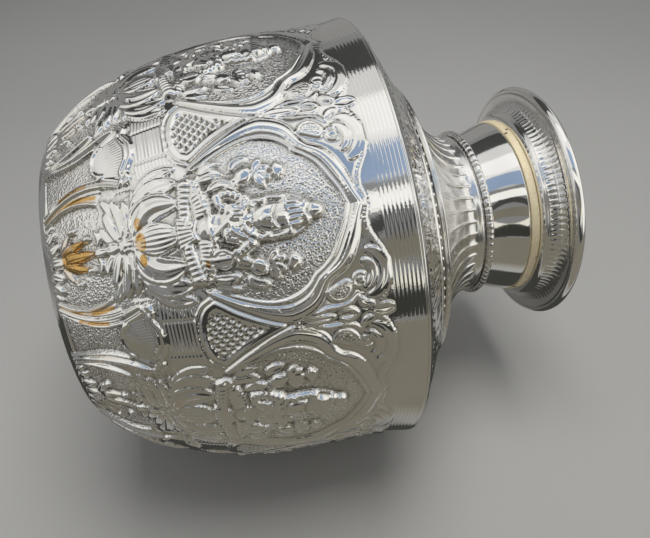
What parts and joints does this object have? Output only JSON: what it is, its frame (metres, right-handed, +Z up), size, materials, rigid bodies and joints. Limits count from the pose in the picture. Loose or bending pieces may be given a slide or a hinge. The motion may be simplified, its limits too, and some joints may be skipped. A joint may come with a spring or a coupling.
{
  "type": "water pot",
  "caption": "Raised silver water pot with a broad embossed drum, sharp shoulder, fluted neck, beaded ring and flared mouth with a rolled lip.",
  "frame": {"origin": "centre of the flat base, on the surface that the pot stands on", "axes": "+Z up along the pot's turned axis, from the base to the mouth; X and Y are across the base"},
  "size_m": [0.19, 0.19, 0.2108],
  "materials": {
    "chased_silver": "silver plate, embossed and bright polished",
    "polished_silver": "silver plate, mirror polished",
    "yellow_braze": "brushed yellow brazing metal, left matt",
    "lip_wire_metal": "drawn wire, dull"
  },
  "bodies": {
    "root": {"body_bowl": "chased_silver", "shoulder_plate": "chased_silver", "neck_cone": "polished_silver", "bead_ring": "polished_silver", "neck_tube": "polished_silver", "seam_ring": "yellow_braze", "mouth_flare": "polished_silver", "lip_wire": "lip_wire_metal"}
  },
  "joints": []
}
